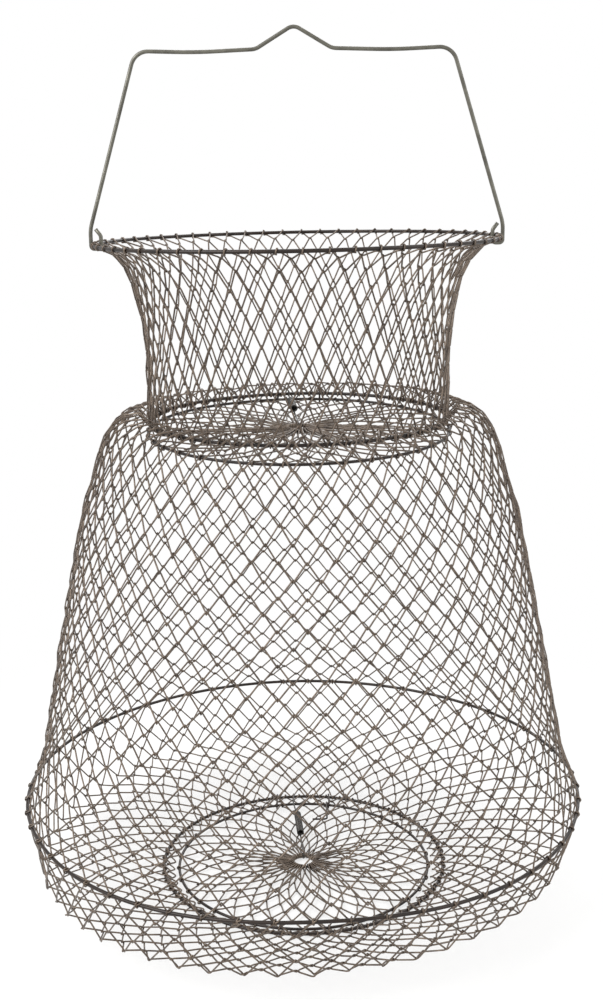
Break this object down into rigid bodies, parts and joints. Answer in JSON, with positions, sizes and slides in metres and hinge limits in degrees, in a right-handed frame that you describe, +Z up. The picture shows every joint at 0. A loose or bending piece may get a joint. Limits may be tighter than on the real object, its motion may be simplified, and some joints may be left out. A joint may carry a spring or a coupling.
{
  "type": "collapsible wire fish basket",
  "caption": "Collapsible wire-mesh fish basket with a flared neck, sprung top and bottom doors and a swinging wire bail.",
  "frame": {"origin": "middle of the plane that the base ring stands on", "axes": "+Z up through the middle of the rings to the bail's peak, +Y to the side on which both doors hinge, +X along the bail to its right-hand eye"},
  "size_m": [0.3324, 0.3324, 0.4913],
  "materials": {
    "browned_steel": "dark brown lacquered steel wire, satin",
    "bail_steel": "olive-grey lacquered steel wire, satin",
    "net_wire": "grey-brown lacquered fine steel wire",
    "spring_steel": "dark spring wire"
  },
  "bodies": {
    "base": {"base_ring": "browned_steel", "bottom_net": "net_wire", "bottom_hinge_clip_left": "browned_steel", "bottom_hinge_clip_right": "browned_steel"},
    "hoop": {"main_hoop": "browned_steel", "body_net": "net_wire"},
    "neck": {"neck_ring": "browned_steel", "neck_net": "net_wire", "top_hinge_loop_left": "browned_steel", "top_hinge_loop_right": "browned_steel"},
    "rim": {"rim_ring": "browned_steel"},
    "handle": {"bail": "bail_steel"},
    "top_door": {"top_door_ring": "browned_steel", "top_door_net": "net_wire", "top_gather_ring": "browned_steel", "top_door_spring": "spring_steel"},
    "bottom_door": {"bottom_door_ring": "browned_steel", "bottom_door_net": "net_wire", "bottom_gather_ring": "browned_steel", "bottom_door_spring": "spring_steel"}
  },
  "joints": [
    {"name": "hoop_slide", "type": "slide", "parent": "base", "child": "hoop", "axis": [0, 0, 1], "range_m": [-0.05, 0], "deforming": ["bottom_net"]},
    {"name": "neck_slide", "type": "slide", "parent": "hoop", "child": "neck", "axis": [0, 0, 1], "range_m": [-0.2, 0], "deforming": ["body_net"]},
    {"name": "rim_slide", "type": "slide", "parent": "neck", "child": "rim", "axis": [0, 0, 1], "range_m": [-0.085, 0], "deforming": ["neck_net"]},
    {"name": "handle_swing", "type": "hinge", "parent": "rim", "child": "handle", "pos_m": [0, 0, 0.3753], "axis": [1, 0, 0], "range_deg": [-50, 50]},
    {"name": "top_door_hinge", "type": "hinge", "parent": "neck", "child": "top_door", "pos_m": [0, 0.08488, 0.27465], "axis": [1, 0, 0], "range_deg": [0, 80], "stiffness_Nm_per_rad": 0.12, "springref_deg": -28.65, "deforming": ["top_door_spring"]},
    {"name": "bottom_door_hinge", "type": "hinge", "parent": "base", "child": "bottom_door", "pos_m": [0, 0.06818, 0.00305], "axis": [1, 0, 0], "range_deg": [0, 105], "stiffness_Nm_per_rad": 0.1, "springref_deg": -28.65, "deforming": ["bottom_door_spring"]}
  ]
}
